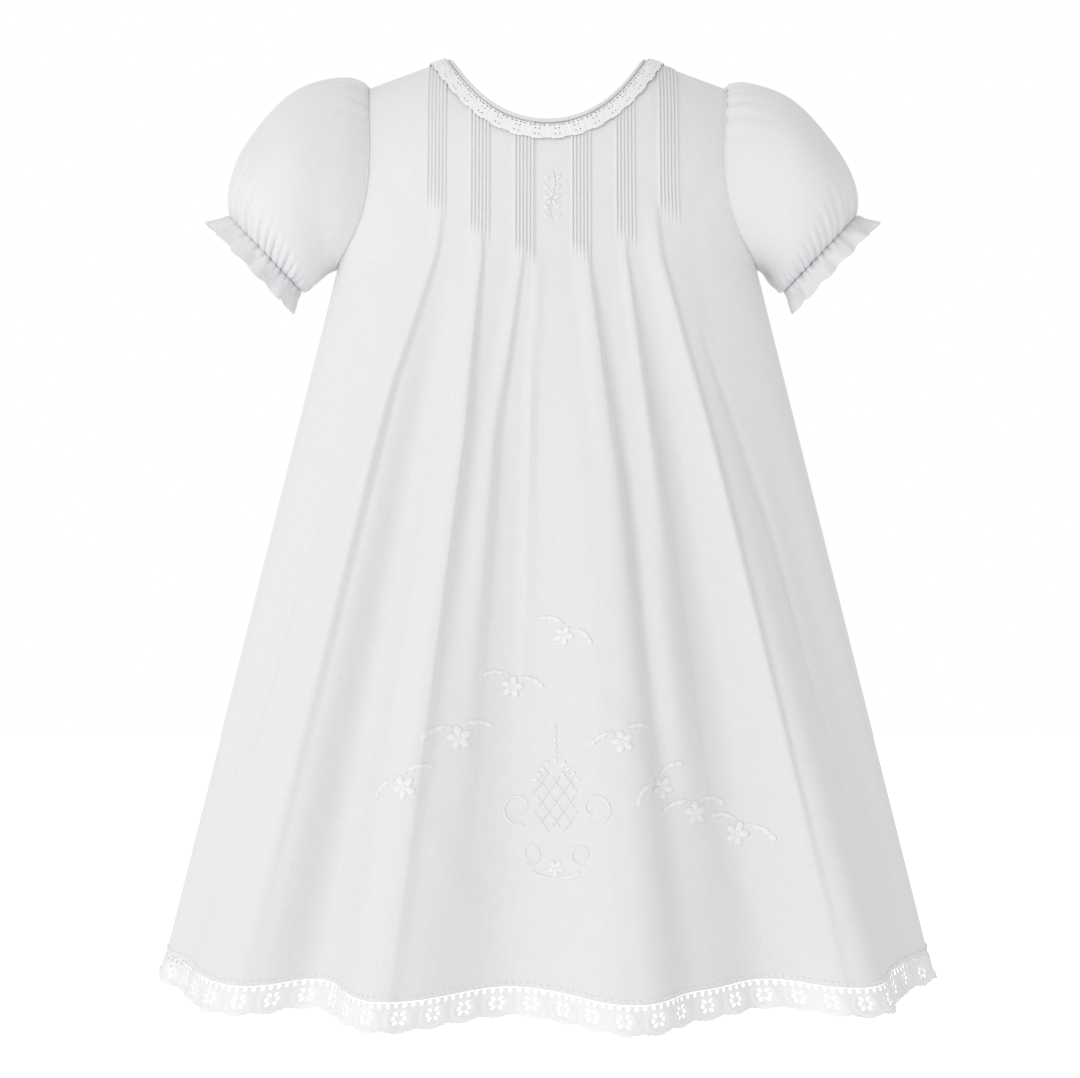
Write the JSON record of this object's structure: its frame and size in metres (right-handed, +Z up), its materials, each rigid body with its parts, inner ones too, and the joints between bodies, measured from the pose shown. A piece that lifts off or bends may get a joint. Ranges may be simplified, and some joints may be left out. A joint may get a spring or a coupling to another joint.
{
  "type": "baby daygown",
  "caption": "Newborn's white batiste daygown with a pintucked front, puffed sleeves with elastic frills, lace at neck and hem, and white embroidery.",
  "frame": {"origin": "midway between the two points where the shoulder seams meet the neck", "axes": "+Z up along the gown, the front faces -Y, the gown's own left sleeve is at +X"},
  "size_m": [0.4174, 0.2061, 0.5072],
  "materials": {
    "batiste": "matte",
    "cotton_lace": "matte",
    "shell_button": "gloss"
  },
  "bodies": {
    "root": {"front_panel": "batiste", "back_left": "batiste", "back_right": "batiste", "back_placket": "batiste", "sleeve_left": "batiste", "sleeve_right": "batiste", "neck_binding": "batiste", "neck_lace": "cotton_lace", "hem_lace": "cotton_lace", "button_1": "shell_button", "button_2": "shell_button", "button_3": "shell_button"}
  },
  "joints": []
}
